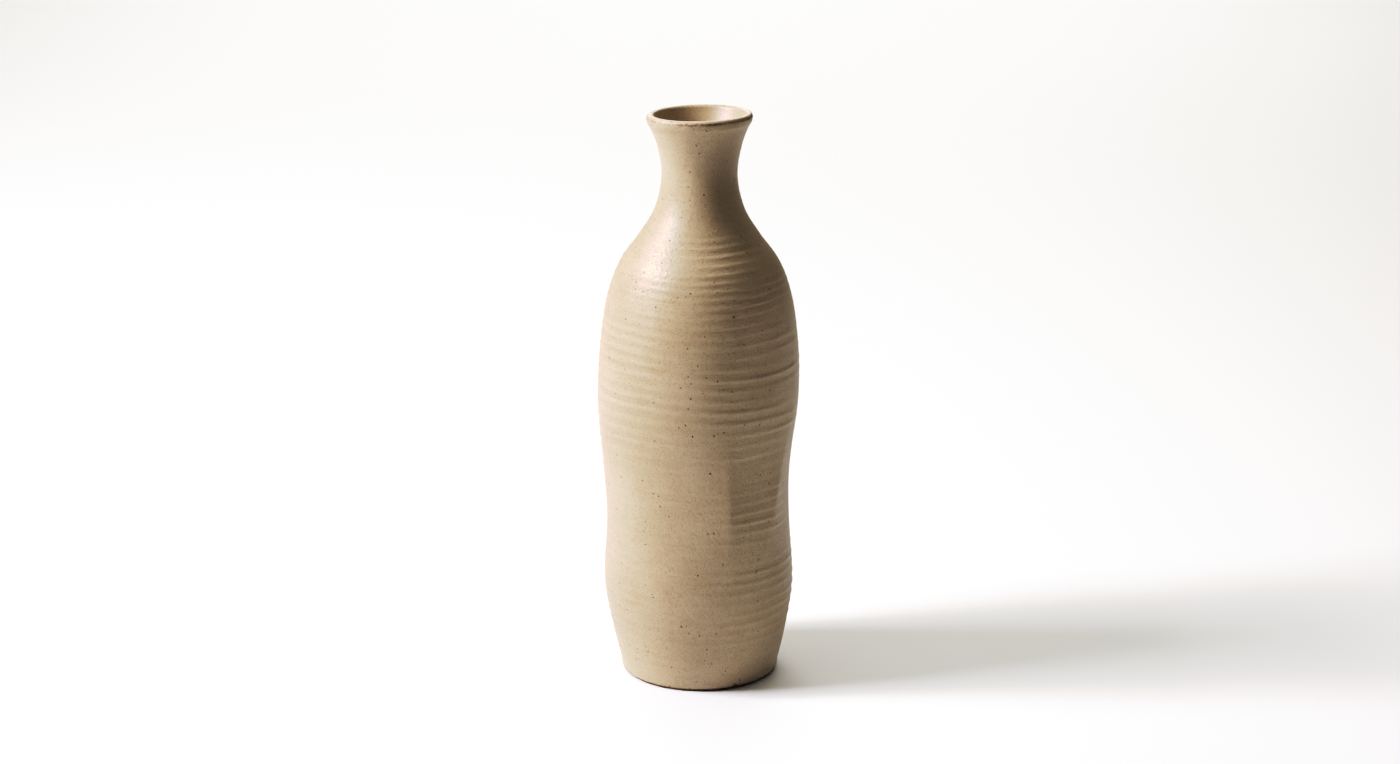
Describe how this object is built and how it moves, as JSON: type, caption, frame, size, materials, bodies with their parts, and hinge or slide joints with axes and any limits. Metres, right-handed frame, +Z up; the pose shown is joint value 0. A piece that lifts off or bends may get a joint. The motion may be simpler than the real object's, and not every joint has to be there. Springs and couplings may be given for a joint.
{
  "type": "stoneware bottle vase",
  "caption": "Tall hand-thrown stoneware bottle vase with a narrow neck, a flared lip, squeezed sides and a sandy satin glaze inside and out.",
  "frame": {"origin": "middle of the foot, on the surface that the vase stands on", "axes": "+Z up along the vase's axis, -Y towards the front, where the smooth pressed flat is, +X to the right"},
  "size_m": [0.1059, 0.1053, 0.3013],
  "materials": {
    "fired_clay": "matte",
    "outer_glaze": "satin",
    "liner_glaze": "satin"
  },
  "bodies": {
    "root": {"clay_body": "fired_clay", "outer_glaze": "outer_glaze", "liner_glaze": "liner_glaze"}
  },
  "joints": []
}
